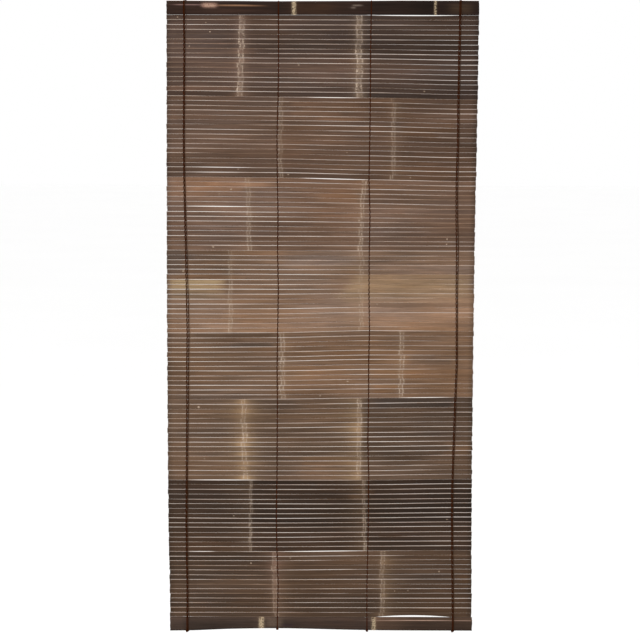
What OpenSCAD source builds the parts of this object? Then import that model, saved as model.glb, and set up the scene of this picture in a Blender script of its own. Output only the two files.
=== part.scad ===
// Roll up blind of split bamboo slats, twined on four warp threads between two
// flat bamboo battens and raised by two lift cords. Millimetres, +Z up, front
// towards -Y. The origin lies midway between the two hanging holes, on the back
// face of the head batten.

/* [Slats] */
// Length of a slat
slat_len = 779.5; // [600:0.5:900]
// Width of a slat, up and down
slat_w = 10.6; // [8:0.1:14]
// Thickness of a slat, front to back
slat_t = 2.4; // [1.8:0.1:3]
// Space between two slats, taken up by the crossing warp strands
gap = 1.6; // [1.6:0.1:2.4]
// How far slat ends wander about the nominal length
ragged = 0.8; // [0:0.1:3]
// How far the middle slats sit above even spacing, as the mat is drawn tighter at the top
rise = 9; // [0:1:12]
// How far the middle slats sit to the left of the battens
sway = 4; // [0:0.5:8]

/* [Battens] */
// Length of the head and bottom battens
batten_len = 780; // [600:1:900]
// Height of the head batten
head_h = 34; // [29:1:40]
// Height of the bottom batten
foot_h = 34; // [29:1:40]
// Thickness of both battens
batten_t = 8; // [8:0.5:12]

/* [Threads and cords] */
// Diameter of a warp strand
warp_d = 1.4; // [1:0.1:1.6]
// Diameter of a lift cord
cord_d = 2; // [1.5:0.1:2.2]
// Distance of the left outer warp thread from the middle
outer_left = 346.5; // [300:0.5:360]
// Distance of the left inner warp thread from the middle
inner_left = 113; // [60:1:200]
// Distance of the right inner warp thread from the middle
inner_right = 119; // [60:1:200]
// Distance of the right outer warp thread from the middle
outer_right = 339.5; // [300:0.5:360]
// Space from an outer warp thread to the lift cord beside it
cord_beside = 3; // [2.5:0.5:6]
// Space from the front run of a lift cord to its back run, to the right
back_beside = 2.5; // [2.5:0.5:6]

/* [Hanging] */
// Distance between the two hanging holes
hang_span = 560; // [400:10:600]
// Diameter of a hanging hole
hang_d = 6; // [4:0.5:8]
// Thickness of a hanger plate
plate_t = 1.2; // [0.8:0.1:2]

/* [Hidden] */
n_slats = 126;
n_groups = 48;
pitch = slat_w + gap;
mid_y = -batten_t / 2;                       // middle plane of the mat
slats_top = -head_h / 2 - gap;               // top edge of the first slat
foot_top = slats_top - n_slats * pitch;      // top edge of the bottom batten
foot_end = foot_top - foot_h;                // lowest edge of the blind
bamboo_dark = [0.21, 0.15, 0.13];
bamboo_mid = [0.40, 0.31, 0.26];
bamboo_light = [0.50, 0.40, 0.32];
thread_brown = [0.16, 0.10, 0.07];
steel_grey = [0.55, 0.55, 0.56];

// The first 14 groups and the last 4 have two slats, and the rest have three
function group_size(i) = i < 14 ? 2 : i < 44 ? 3 : 2;
function group_start(i) = i < 14 ? 2 * i : i < 44 ? 28 + 3 * (i - 14) : 118 + 2 * (i - 44);
function group_name(i) = str("slat_group_", i < 9 ? "0" : "", i + 1);

WARPS = [
    ["warp_thread_1", -outer_left],
    ["warp_thread_2", -inner_left],
    ["warp_thread_3", inner_right],
    ["warp_thread_4", outer_right]
];
CORDS = [
    ["lift_cord_left", -outer_left + cord_beside],
    ["lift_cord_right", outer_right + cord_beside]
];

// A strip with its section drawn as (y, z) points, run along X
module strip(points, x0, x1) {
    translate([x0, 0, 0]) rotate([90, 0, 90]) linear_extrude(height = x1 - x0) polygon(points);
}

// Slat section: a flat middle with thinned edges, so that slats can fold on their threads
function slat_section(zc) = let (w = slat_w / 2, t = slat_t / 2) [
    [mid_y - 0.55 * t, zc + w], [mid_y - 0.9 * t, zc + w - 0.9], [mid_y - t, zc + w - 2.8],
    [mid_y - t, zc - w + 2.8], [mid_y - 0.9 * t, zc - w + 0.9], [mid_y - 0.55 * t, zc - w],
    [mid_y + 0.55 * t, zc - w], [mid_y + 0.9 * t, zc - w + 0.9], [mid_y + t, zc - w + 2.8],
    [mid_y + t, zc + w - 2.8], [mid_y + 0.9 * t, zc + w - 0.9], [mid_y + 0.55 * t, zc + w]
];

function slat_z(k) = slats_top - slat_w / 2 - k * pitch + rise * sin(180 * (k + 0.5) / n_slats);
function end_shift(k) = ragged * (0.7 * sin(k * 137.5) + 0.3 * sin(k * 57)) - sway * sin(180 * (k + 0.5) / n_slats);
function end_trim(k) = ragged * (0.5 + 0.5 * sin(k * 91));

module slat(k) {
    strip(slat_section(slat_z(k)),
        -slat_len / 2 + end_shift(k) + end_trim(k) / 2,
        slat_len / 2 + end_shift(k) - end_trim(k) / 2);
}

module slat_group(i) {
    color(i % 6 < 2 ? bamboo_dark : i % 6 < 4 ? bamboo_mid : bamboo_light)
        for (j = [0 : group_size(i) - 1]) slat(group_start(i) + j);
}

// Batten section between two heights: flat back, gently crowned front
function batten_section(z0, z1) = let (t = batten_t) [
    [-1, z0], [-0.78 * t, z0], [-0.93 * t, z0 + 3], [-t, z0 + 9],
    [-t, z1 - 9], [-0.93 * t, z1 - 3], [-0.78 * t, z1], [-1, z1],
    [0, z1 - 1], [0, z0 + 1]
];

// A round hole in the back of the head batten
module back_hole(x, z, d, deep) {
    translate([x, -deep, z]) rotate([-90, 0, 0]) cylinder(h = deep + 1, d = d, $fn = 48);
}

module head_batten() {
    color(bamboo_dark) difference() {
        strip(batten_section(-head_h / 2, head_h / 2), -batten_len / 2, batten_len / 2);
        for (s = [-1, 1]) {
            // room for the head of a wall screw behind each hanger plate
            back_hole(s * hang_span / 2, 0, 12, 4.6);
            for (z = [-9, 9]) back_hole(s * hang_span / 2, z, 1.7, 5.2);
        }
        for (c = CORDS) back_hole(c[1] + back_beside, 0, 1.9, 5.2);
    }
}

module bottom_batten() {
    color(bamboo_dark)
        strip(batten_section(foot_end, foot_top), -batten_len / 2, batten_len / 2);
}

// Steel plate with cut corners, a hanging hole and two nail holes
module hanger_plate(x) {
    translate([x, 0, 0]) rotate([-90, 0, 0]) difference() {
        linear_extrude(height = plate_t)
            polygon([[-10, -10], [-7, -13], [7, -13], [10, -10], [10, 10], [7, 13], [-7, 13], [-10, 10]]);
        translate([0, 0, -1]) cylinder(h = plate_t + 2, d = hang_d, $fn = 48);
        for (z = [-9, 9]) translate([0, z, -1]) cylinder(h = plate_t + 2, d = 1.8, $fn = 32);
    }
}

module hanger_plates() {
    color(steel_grey) for (s = [-1, 1]) hanger_plate(s * hang_span / 2);
}

// Round-headed nail, driven forward through the plate into the batten
module nail(x, z) {
    translate([x, 0, z]) rotate([-90, 0, 0]) rotate_extrude($fn = 32) polygon([
        [0, -5], [0.8, -4], [0.8, plate_t + 0.02], [2, plate_t + 0.02], [2, plate_t + 0.3], [1.2, plate_t + 1], [0, plate_t + 1.2]
    ]);
}

module hanger_nails() {
    color(steel_grey) for (s = [-1, 1], z = [-9, 9]) nail(s * hang_span / 2, z);
}

// Screw eye lying level, so that the lift cord runs straight down through its ring
module cord_eye(x) {
    translate([x, 4.9, 0]) rotate_extrude($fn = 64) translate([3.4, 0]) circle(r = 0.9, $fn = 32);
    translate([x, -5, 0]) rotate([-90, 0, 0]) cylinder(h = 6.6, r = 0.9, $fn = 32);
}

module cord_eyes() {
    color(steel_grey) for (c = CORDS) cord_eye(c[1] + back_beside);
}

// A tube of eight sides round a closed loop of points, which lies nearly in one upright plane
function unit(v) = v / norm(v);
function flat(p) = [p[1], p[2]];
module loop_tube(points, r) {
    n = len(points);
    m = 8;
    side = [for (i = [0 : n - 1])
        let (a = unit(flat(points[i]) - flat(points[(i + n - 1) % n])),
             b = unit(flat(points[(i + 1) % n]) - flat(points[i])),
             s = unit(a + b), h = [s[1], -s[0]])
        h / (h * [b[1], -b[0]])];
    verts = [for (i = [0 : n - 1], j = [0 : m - 1])
        let (q = flat(points[i]) + side[i] * r * cos(360 * (j + 0.5) / m))
        [points[i][0] + r * sin(360 * (j + 0.5) / m), q[0], q[1]]];
    faces = [for (i = [0 : n - 1], j = [0 : m - 1])
        let (k = (i + 1) % n, l = (j + 1) % m) [i * m + j, i * m + l, k * m + l, k * m + j]];
    polyhedron(verts, faces, convexity = 4);
}

// Up the front of the mat at xf, over the head batten, and from there on at xb: by way
// of the points in eye, down the back of the mat and under the bottom batten
function mat_route(xf, xb, r, eye) = let (
    f = -batten_t - r - 0.1, b = r + 0.1,
    sf = mid_y - slat_t / 2 - r - 0.1, sb = mid_y + slat_t / 2 + r + 0.1,
    h = head_h / 2, top = h + r + 0.1, low = foot_end - r - 0.1
) concat([
    [xf, f, h - 2], [xf, f + 0.6, h + 0.3], [xf, f + 1.8, top],
    [xb, -0.7, top], [xb, 0.4 * b, h + 0.5 * b], [xb, b, h - 0.7]
], eye, [
    [xb, b, -h], [xb, sb, -h - 5],
    [xb, sb, foot_top + 5], [xb, b, foot_top],
    [xb, b, foot_end + 0.7], [xb, 0.4 * b, foot_end - 0.5 * b], [xb, -0.7, low],
    [xf, f + 1.8, low], [xf, f + 0.6, foot_end - 0.3], [xf, f, foot_end + 2],
    [xf, f, foot_top], [xf, sf, foot_top + 5],
    [xf, sf, -h - 5], [xf, f, -h]
]);

module warp_thread(x) {
    color(thread_brown) loop_tube(mat_route(x, x, warp_d / 2, []), warp_d / 2);
}

// The back run of a lift cord lies beside its front run, so that both fit in the rolled up mat
module lift_cord(x) {
    xb = x + back_beside;
    color(thread_brown)
        loop_tube(mat_route(x, xb, cord_d / 2, [[xb, 4.9, 4], [xb, 4.9, -4]]), cord_d / 2);
}

head_batten();
bottom_batten();
hanger_plates();
hanger_nails();
cord_eyes();
for (w = WARPS) warp_thread(w[1]);
for (c = CORDS) lift_cord(c[1]);
for (i = [0 : n_groups - 1]) slat_group(i);
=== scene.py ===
import math

import bpy
import numpy as np
from mathutils import Euler, Matrix, Vector


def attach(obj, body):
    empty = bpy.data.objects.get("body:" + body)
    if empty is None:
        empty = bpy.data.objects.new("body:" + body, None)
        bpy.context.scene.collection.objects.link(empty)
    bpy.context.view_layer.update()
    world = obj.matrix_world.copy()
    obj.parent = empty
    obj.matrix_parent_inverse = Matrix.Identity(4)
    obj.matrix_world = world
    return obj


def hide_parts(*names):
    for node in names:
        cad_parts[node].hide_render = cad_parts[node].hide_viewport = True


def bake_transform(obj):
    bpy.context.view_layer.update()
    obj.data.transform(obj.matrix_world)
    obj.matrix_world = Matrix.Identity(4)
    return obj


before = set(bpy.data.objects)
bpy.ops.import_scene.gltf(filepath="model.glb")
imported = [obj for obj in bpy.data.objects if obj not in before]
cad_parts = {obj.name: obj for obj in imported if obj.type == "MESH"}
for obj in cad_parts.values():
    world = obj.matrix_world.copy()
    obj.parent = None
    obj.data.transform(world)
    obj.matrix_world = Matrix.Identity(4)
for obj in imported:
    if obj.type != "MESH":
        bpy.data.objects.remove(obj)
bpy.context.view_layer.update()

MM = 0.001
scene = bpy.context.scene


# ---------------------------------------------------------------- camera
def make_camera():
    data = bpy.data.cameras.new("camera")
    data.sensor_fit = "HORIZONTAL"
    data.sensor_width = 36.0
    data.lens = 36.0 * 1770.6 / 640.0
    data.clip_start, data.clip_end = 0.05, 300.0
    cam = bpy.data.objects.new("camera", data)
    scene.collection.objects.link(cam)
    turn = Euler((math.radians(90.0 - 5.78), 0.0, 0.0)).to_matrix().to_4x4()
    roll = Matrix.Rotation(math.radians(0.16), 4, "Z")
    cam.matrix_world = Matrix.Translation((-0.0048, -4.482, -0.3301)) @ turn @ roll
    scene.camera = cam
    return cam


make_camera()

# ---------------------------------------------------------------- sizes, in mm, as in the CAD
N_SLATS = 126
SLAT_W, SLAT_T, GAP, PITCH = 10.6, 2.4, 1.6, 12.2
SLAT_LEN, RAGGED, RISE = 779.5, 0.8, 9.0
BATTEN_LEN, BATTEN_T, HEAD_H, FOOT_H = 780.0, 8.0, 34.0, 34.0
MID_Y = -4.0
HEAD_LOW = -HEAD_H / 2
FOOT_TOP = HEAD_LOW - GAP - N_SLATS * PITCH
FOOT_LOW = FOOT_TOP - FOOT_H
WARPS = [-346.5, -113.0, 119.0, 339.5]
CORDS = [-343.5, 342.5]
CORD_BACK = 2.5
GROUPS = [2] * 14 + [3] * 30 + [2] * 4
GROUP_START = [sum(GROUPS[:i]) for i in range(len(GROUPS))]
BODY = ["head"] + [f"slat_group_{i + 1:02d}" for i in range(48)] + ["bottom_batten"]


def slat_z(k):
    return HEAD_LOW - GAP - SLAT_W / 2 - k * PITCH + RISE * math.sin(math.pi * (k + 0.5) / N_SLATS)


def gap_z(j):
    """Middle of the gap above slat j, for j from 0 to 126."""
    return HEAD_LOW - GAP / 2 - j * PITCH + RISE * math.sin(math.pi * j / N_SLATS)


def deg_sin(a):
    return math.sin(math.radians(a))


# ---------------------------------------------------------------- the mat's lie
# The eight culms that the slats were split from, top to bottom: how many slats each gave
CULMS = [17, 17, 15, 17, 14, 17, 15, 14]
CULM_START = [sum(CULMS[:i]) for i in range(len(CULMS) + 1)]
CULM_OF = [c for c, n in enumerate(CULMS) for _ in range(n)]

# How far slats lie above (+) or below (-) a level line, in mm, where one culm's slats end,
# at the four warp threads
LIE_X = np.array([-346.0, -113.0, 119.0, 343.0])
LIE = np.array([
    [0.0, 0.0, 0.0, 0.0],
    [4.0, 1.5, 0.0, -4.8],
    [4.5, 3.0, -1.6, -5.4],
    [0.8, 0.0, 0.0, 0.0],
    [-3.8, -2.2, 3.2, 2.5],
    [-3.0, -2.2, 1.5, 3.8],
    [-1.0, -1.0, -0.6, 2.8],
    [-2.0, -2.0, 0.9, 2.8],
    [0.0, 0.0, 0.0, 0.0],
])


def ease(t):
    return t * t * (3 - 2 * t)


def soft_table(xs, table, x):
    """Values of a table at x, eased between its columns and flat past its ends."""
    x = np.clip(np.asarray(x, float), xs[0], xs[-1])
    i = np.clip(np.searchsorted(xs, x, side="right") - 1, 0, len(xs) - 2)
    t = (x - xs[i]) / (xs[i + 1] - xs[i])
    t = 0.5 * t + 0.5 * ease(t)
    return table[i] * (1 - t) + table[i + 1] * t


def lie(u, x):
    """Height of the mat above level at slat number u and place x."""
    row = np.interp(u, CULM_START, np.arange(len(CULM_START)))
    i = min(int(row), len(CULMS) - 1)
    t = ease(row - i)
    return soft_table(LIE_X, LIE[i] * (1 - t) + LIE[i + 1] * t, x)


# How far threads and slats wander sideways, in mm: at the ends of each culm's slats and halfway
# between, for the four warp threads, and at the same places how far slats sit to the right
SWAY_AT = np.array([0, 8.5, 17, 25.5, 34, 41.5, 49, 57.5, 66, 73, 80, 88.5, 97, 104.5, 112, 119, 126])
SWAY = np.array([
    [-1.2, -1.0, -2.3, -3.5, -2.8, -1.2, 0.8, 2.5, 4.0, 2.5, 2.3, 1.0, -0.2, -1.5, -0.8, 0.3, 0.0],
    [2.2, 2.7, 1.5, -1.3, -0.5, 1.5, 0.5, 2.3, 0.5, -0.8, 0.0, -0.5, -1.0, -2.8, -0.8, 2.2, 0.0],
    [2.0, 1.0, 1.0, 0.3, -1.3, 1.8, 0.5, 0.3, 2.0, 0.5, 0.8, -0.5, 2.4, 2.0, 1.0, -0.8, -0.3],
    [2.7, 1.2, 0.5, 0.2, -1.8, -1.3, 0.7, 1.0, 2.2, 3.0, 0.5, -2.1, -4.7, -5.2, -3.5, -1.9, -0.1],
])
ASIDE = np.array([0.0, -0.4, -0.9, -1.6, -2.3, -3.0, -3.5, -3.8, -4.0, -4.0, -4.0, -4.0, -3.8, -3.4, -2.5, -1.2, -0.5])
LONGER = [1.2, 0.7, -0.5, -0.3, -0.5, -0.5, -0.3, -0.8]


def sway(column, u):
    """How far warp thread number column hangs beside its place, at slat number u."""
    return float(np.interp(u, SWAY_AT, SWAY[column]))


class Wander:
    """A smooth seeded curve between -1 and 1, with a turn about every period mm."""

    def __init__(self, rng, period):
        self.period = period
        self.v = rng.uniform(-1, 1, int(900 / period) + 8)

    def __call__(self, x):
        u = (np.asarray(x, float) + 450) / self.period + 1
        i = np.floor(u).astype(int)
        f = u - i
        i = np.clip(i, 1, len(self.v) - 3)
        a, b, c, d = self.v[i - 1], self.v[i], self.v[i + 1], self.v[i + 2]
        return b + 0.5 * f * (c - a + f * (2 * a - 5 * b + 4 * c - d + f * (3 * (b - c) + d - a)))


def spline(f):
    """Weights of four neighbours on a Catmull-Rom curve."""
    return 0.5 * (-f + 2 * f * f - f ** 3), 0.5 * (2 - 5 * f * f + 3 * f ** 3), 0.5 * (f + 4 * f * f - 3 * f ** 3), 0.5 * (f ** 3 - f * f)


class Field:
    """A smooth seeded field about 0 over slats and x, with a turn about every dk slats and dx mm."""

    def __init__(self, rng, dk, dx):
        self.dk, self.dx = dk, dx
        self.v = rng.normal(0, 1, (int(20 / dk) + 6, int(900 / dx) + 6))

    def __call__(self, k, x):
        a, b = k / self.dk + 1, (np.asarray(x, float) + 450) / self.dx + 1
        i, j = int(a), np.floor(b).astype(int)
        row = sum(w * self.v[i - 1 + n] for n, w in enumerate(spline(a - i)))
        return sum(w * row[np.clip(j - 1 + n, 0, len(row) - 1)] for n, w in enumerate(spline(b - j)))


# Widths of the gaps between slats, in mm, for each culm at its left, middle and right
OPEN_X = np.array([-300.0, 0.0, 280.0])
OPEN = np.array([
    [0.42, 0.31, 0.04],
    [0.24, 0.32, 0.25],
    [0.12, 0.26, 0.52],
    [0.24, 0.33, 0.26],
    [0.58, 0.25, 0.21],
    [0.38, 0.28, 0.19],
    [0.28, 0.40, 0.48],
    [0.50, 0.25, -0.14],
])

# and how much those widths wander along a gap
WANDER = [0.22, 0.28, 0.27, 0.27, 0.25, 0.25, 0.23, 0.22]

# Gaps that stand open in a crescent: gap number, from x, to x, how much wider in mm, share
# that the slat above gives
CRESCENTS = [
    (0, 122.0, 343.0, 1.9, 0.15),
    (17, -40.0, 95.0, 1.0, 0.5),
    (34, -55.0, 117.0, 1.3, 0.5),
    (40, -345.0, -180.0, 1.0, 0.5),
    (32, -325.0, -180.0, 0.8, 0.5),
    (33, -325.0, -200.0, 0.6, 0.5),
    (80, 196.0, 330.0, 1.0, 0.5),
    (97, -345.0, -160.0, 1.2, 0.5),
    (112, -105.0, 118.0, 1.2, 0.5),
    (112, -345.0, -270.0, 0.8, 0.5),
    (126, 142.0, 334.0, 4.3, 1.12),
]


# Gaps that stay wider and on their hinge line, because their slats would rub when rolled up
RUBBING = (46, 52, 106, 122, 124)


def make_gaps():
    """For each gap, how far the slat above ends over its middle and the slat below starts under it."""
    rng = np.random.default_rng(41)
    made = []
    for j in range(N_SLATS + 1):
        a = OPEN[CULM_OF[max(j - 1, 0)]]
        b = OPEN[CULM_OF[min(j, N_SLATS - 1)]]
        slow, fine = Wander(rng, 210), Wander(rng, 70)
        amount = rng.uniform(-0.14, 0.14)
        shift = rng.uniform(-0.55, 0.55)
        hinge = j in GROUP_START or j == N_SLATS
        mine = [c for c in CRESCENTS if c[0] == j]
        tilt = Wander(rng, 260)
        threads = [w + sway(i, j) for i, w in enumerate(WARPS)]

        def edges(x, j=j, threads=threads, a=a, b=b, slow=slow, fine=fine, amount=amount, shift=shift, hinge=hinge, mine=mine, tilt=tilt):
            width = 0.5 * (soft_table(OPEN_X, a, x) + soft_table(OPEN_X, b, x)) + amount
            width = width + WANDER[CULM_OF[min(j, N_SLATS - 1)]] * slow(x) + 0.12 * fine(x)
            width = width * np.where(np.abs(np.asarray(x, float)) > 350, 0.85, 1.0) * (0.45 if j in (0, N_SLATS) else 1.0)
            width = np.clip(0.88 * width + (0.34 if j == N_SLATS else 0.0), 0.32 if j in RUBBING else 0.12 if hinge else 0.03, 2.3)
            # the crossing strands keep a gap open at each warp thread
            near = sum(np.exp(-((np.asarray(x, float) - w) / 2.1) ** 4) for w in threads)
            width = width + near * np.maximum(1.30 - width, 0)
            middle = (0.0 if j == N_SLATS or j in RUBBING else 0.3 if hinge else 1.5) * (shift + 0.45 * tilt(x))
            above, below = middle + width / 2, middle - width / 2
            for _, x0, x1, more, share in mine:
                t = np.clip((np.asarray(x, float) - x0) / (x1 - x0), 0, 1)
                arch = more * np.sin(math.pi * t) ** 0.8
                above, below = above + arch * share, below - arch * (1 - share)
            return above, below

        made.append(edges)
    return made


GAPS = make_gaps()


# ---------------------------------------------------------------- colours
def linear(c):
    c = np.asarray(c, float)
    return np.where(c <= 0.04045, c / 12.92, ((c + 0.055) / 1.055) ** 2.4)


def stain(level, warm):
    """Bamboo stained to a level from 0 to 255, from grey brown (warm 0) to orange brown (warm 1)."""
    level, warm = np.asarray(level, float)[..., None], np.asarray(warm, float)[..., None]
    return level / 255.0 * ((1 - warm) * np.array([1.0, 0.835, 0.745]) + warm * np.array([1.09, 0.80, 0.575]))


# Each culm's stain: level at the top and bottom slat, and warmth, for the three lengths between its nodes
CULM_STAIN = [
    ((65, 77, 0.42), (61, 66, 0.48), (57, 57, 0.42)),
    ((87, 72, 0.50), (90, 70, 0.66), (81, 72, 0.60)),
    ((97, 97, 0.55), (98, 87, 0.64), (93, 80, 0.54)),
    ((89, 119, 0.56), (103, 112, 0.56), (98, 119, 0.60)),
    ((89, 90, 0.54), (94, 94, 0.60), (96, 94, 0.64)),
    ((82, 85, 0.62), (77, 81, 0.70), (68, 77, 0.64)),
    ((56, 54, 0.62), (52, 50, 0.72), (50, 48, 0.72)),
    ((69, 67, 0.68), (71, 64, 0.72), (67, 62, 0.72)),
]

# How much the level goes up and down from slat to slat in each culm, and how far its hue lies from
# the usual one towards red and towards yellow
CULM_SPREAD = [0.13, 0.10, 0.045, 0.04, 0.055, 0.055, 0.13, 0.11]
CULM_HUE = [(0.027, -0.016), (0.018, -0.002), (0.006, -0.014), (-0.012, -0.003), (0.0, 0.020), (-0.012, 0.002), (0.036, 0.034), (0.015, 0.032)]

# Nodes of each culm: x at its top slat, x at its bottom slat, how pale, distance between its two
# rings, how far its haze of lighter stain reaches left and right, and how strong that is
CULM_NODES = [
    ((-202, -206, (0.85, 0.85), 11.0, 15, 18, 0.42), (92, 92, (0.85, 0.85), 11.5, 16, 15, 0.42)),
    ((-106, -105, (0.35, 0.60), 7.0, 10, 9, 0.16), (179, 178, (0.35, 0.55), 6.5, 12, 20, 0.20)),
    ((-187, -184, (0.38, 0.62), 8.0, 10, 14, 0.18), (106, 97, (0.70, 1.00), 7.0, 14, 8, 0.22)),
    ((-233, -233, (0.45, 0.70), 7.0, 14, 9, 0.14), (99, 100, (0.42, 0.50), 7.0, 40, 9, 0.24)),
    ((-101, -101, (0.95, 1.10), 8.0, 9, 16, 0.26), (203, 203, (0.85, 0.80), 8.5, 24, 9, 0.18)),
    ((-200, -197, (1.00, 0.70), 9.0, 34, 34, 0.88), (97, 96, (1.00, 0.70), 8.5, 44, 12, 0.74)),
    ((-180, -184, (0.75, 0.65), 4.0, 45, 7, 0.22), (109, 112, (0.45, 0.70), 5.0, 34, 8, 0.34)),
    ((-122, -117, (0.65, 0.65), 8.5, 11, 22, 0.50), (158, 157, (0.70, 0.60), 8.0, 9, 30, 0.50)),
]

# Nodes whose haze is pink rather than tan: culm, node
PINK = [(0, 0), (7, 0)]

# Small pale scars: x, slat, length, height, strength
SCARS = [
    (-363, 0, 5, 4, 0.7), (-292, 1, 4, 3, 0.5), (-282, 3, 5, 3, 0.8), (-334, 6, 3, 5, 0.5),
    (-212, 32, 3, 6, 0.8), (-86, 33, 4, 5, 0.8), (-230, 36, 6, 5, 0.9), (-260, 37, 4, 3, 0.6),
    (222, 33, 4, 4, 0.6), (-276, 48, 7, 4, 0.9), (-352, 53, 7, 6, 0.45), (316, 46, 4, 6, 0.9),
    (315, 47, 5, 4, 0.9), (66, 76, 8, 3, 0.7), (-4, 79, 5, 5, 0.6), (-314, 81, 9, 6, 1.0),
    (323, 105, 6, 3, 0.8), (-225, 104, 4, 3, 0.6), (-181, 114, 5, 4, 0.9), (-80, 113, 4, 6, 0.4),
    (304, 116, 6, 4, 0.8), (190, 120, 3, 3, 0.7), (224, 120, 3, 3, 0.7), (62, 28, 4, 3, 0.5),
    (-60, 10, 5, 4, 0.4), (255, 15, 5, 3, 0.6), (140, 60, 4, 4, 0.5), (-300, 92, 5, 3, 0.4),
]

# Slats that stand out from their culm: slat, from x, to x, change of level, change of warmth
ODD_SLATS = [
    (53, -400, -240, 4, 0.0),
    (16, -400, -210, -12, 0.0), (15, -400, -225, 14, 0.0), (31, -400, 400, 4, 0.0),
    (19, -60, 120, 10, 0.12), (20, -90, 60, 10, 0.12), (21, -20, 110, 12, 0.10), (18, -90, 100, 8, 0.10),
    (22, 190, 343, 6, 0.25), (23, 190, 343, -4, 0.35), (24, 190, 300, 0, 0.35), (25, 200, 343, -8, 0.25),
    (66, -340, -113, -10, 0.1), (67, -340, -200, -8, 0.1), (68, -250, -115, -12, -0.2), (69, -200, -115, -2, 0.3),
    (74, 119, 260, 4, 0.20), (75, 119, 270, 0, 0.25), (77, 119, 210, 6, 0.30), (78, 119, 200, -4, 0.35),
    (72, 210, 343, -10, -0.25), (71, 215, 300, -8, -0.2), (61, 100, 390, 6, -0.10), (62, 100, 390, 8, -0.05),
    (63, -20, 390, 5, -0.05), (59, 90, 390, 4, -0.05), (89, 300, 390, 10, 0.2), (90, 320, 390, 18, 0.2),
    (91, 300, 390, 8, 0.2), (93, -60, 100, 6, 0.25), (92, -60, 80, 8, 0.2), (80, 130, 343, -8, -0.2),
    (81, 130, 343, -10, -0.2), (117, 340, 390, 4, 0.4), (118, 345, 390, 2, 0.4), (49, -400, -345, -8, -0.25),
    (50, -400, -320, -10, -0.2), (51, -400, -340, -10, -0.25), (52, -400, -340, -8, -0.25), (53, -400, -345, -6, -0.3),
    (35, -300, -120, 12, 0.1), (36, -340, -190, 10, 0.1), (38, -20, 100, 8, 0.15), (37, -20, 100, 6, 0.2),
    (97, -400, 390, -4, 0.0), (106, -60, 100, -6, 0.1), (99, 100, 140, 16, 0.2), (100, 60, 112, 14, 0.2),
    (52, 100, 390, 4, -0.25), (53, 80, 390, 2, -0.25), (51, -100, 90, 2, -0.2), (50, -200, 100, 0, -0.2),
]


# Slats that took little stain: slat, from x, to x, share of bare tan
TAN_SLATS = [
    (55, -400, -236, 0.80), (56, -400, -240, 0.70), (57, -400, -236, 0.35), (58, -400, -236, 0.22),
    (54, 70, 390, 0.28), (55, 60, 390, 0.36), (56, 50, 390, 0.40), (57, 40, 390, 0.34), (58, 20, 390, 0.26), (59, 40, 390, 0.15),
]
TAN = np.array([158.0, 135.0, 102.0]) / 255.0


def bump(t, w):
    return np.exp(-((np.asarray(t, float) / w) ** 2))


def node_places(k, rng):
    """The two node places of slat k, each with its culm's figures."""
    c = CULM_OF[k]
    share = (k - CULM_START[c]) / max(CULMS[c] - 1, 1)
    return [(n[0] * (1 - share) + n[1] * share + rng.normal(0, 1.5), n) for n in CULM_NODES[c]]


# ---------------------------------------------------------------- mesh help
def new_mesh(name, verts, faces, smooth=True):
    mesh = bpy.data.meshes.new(name)
    mesh.from_pydata([tuple(v) for v in verts], [], [tuple(f) for f in faces])
    mesh.validate()
    if smooth:
        mesh.polygons.foreach_set("use_smooth", [True] * len(mesh.polygons))
    mesh.update()
    obj = bpy.data.objects.new(name, mesh)
    scene.collection.objects.link(obj)
    return obj


def point_colour(obj, name, values):
    a = obj.data.attributes.new(name, "FLOAT_COLOR", "POINT")
    rgba = np.ones((len(values), 4), np.float32)
    rgba[:, :3] = values
    a.data.foreach_set("color", rgba.ravel())


def point_float(obj, name, values):
    a = obj.data.attributes.new(name, "FLOAT", "POINT")
    a.data.foreach_set("value", np.asarray(values, np.float32))


def loft(rings, closed_ends=True):
    """Faces that join rings of points, each an array of the same length, in order."""
    n, m = len(rings), len(rings[0])
    verts = np.concatenate(rings)
    faces = [
        (i * m + j, i * m + (j + 1) % m, (i + 1) * m + (j + 1) % m, (i + 1) * m + j)
        for i in range(n - 1)
        for j in range(m)
    ]
    if closed_ends:
        faces.append(tuple(reversed(range(m))))
        faces.append(tuple((n - 1) * m + j for j in range(m)))
    return verts, faces


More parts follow.
